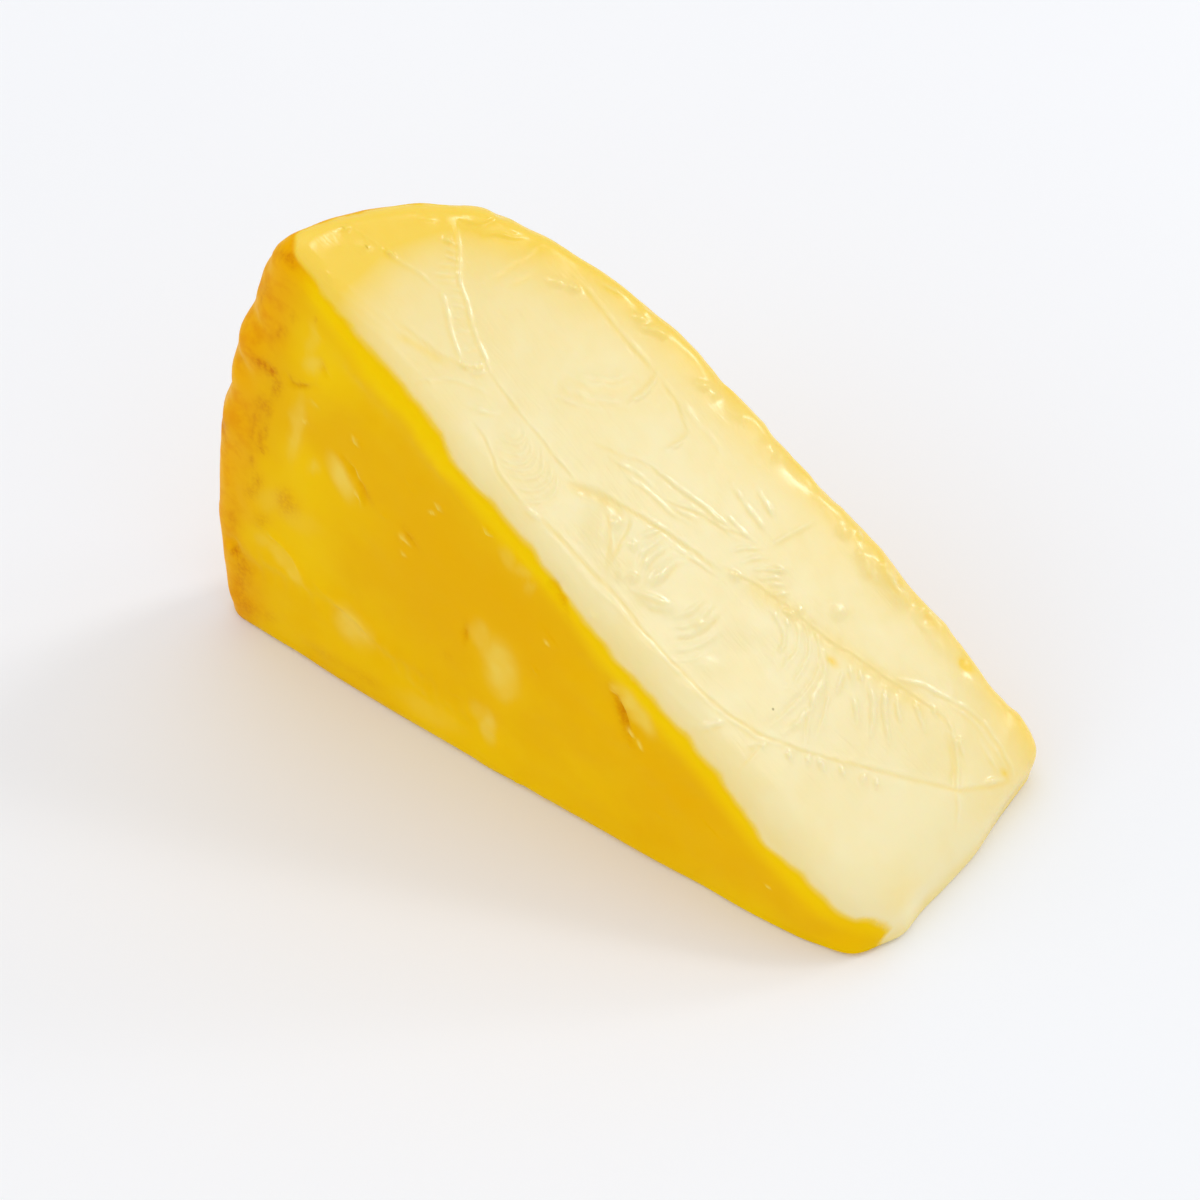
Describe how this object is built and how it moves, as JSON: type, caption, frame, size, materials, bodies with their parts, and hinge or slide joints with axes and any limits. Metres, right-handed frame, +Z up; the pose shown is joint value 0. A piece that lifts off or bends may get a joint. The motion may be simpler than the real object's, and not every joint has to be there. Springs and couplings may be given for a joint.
{
  "type": "smoked gouda wedge",
  "caption": "Wedge of smoked semi-hard cheese cut from a low domed wheel, lying on a cut face, with a blunt tip and a golden-brown skin on its rim, base and domed side.",
  "frame": {"origin": "middle of the bounding box's underside, on the rest plane", "axes": "+X along the wedge from the smoked rim to the blunt tip, +Y across the wheel's thickness from its flat base to its domed top, +Z up from the cut face it lies on"},
  "size_m": [0.1232, 0.05, 0.0858],
  "materials": {
    "smoked_cheese": "waxy young cheese: smooth cream cut faces with an oily sheen, deepening to golden yellow on the smoked skin and to orange-brown along the rim"
  },
  "bodies": {
    "root": {"cheese_wedge": "smoked_cheese"}
  },
  "joints": []
}
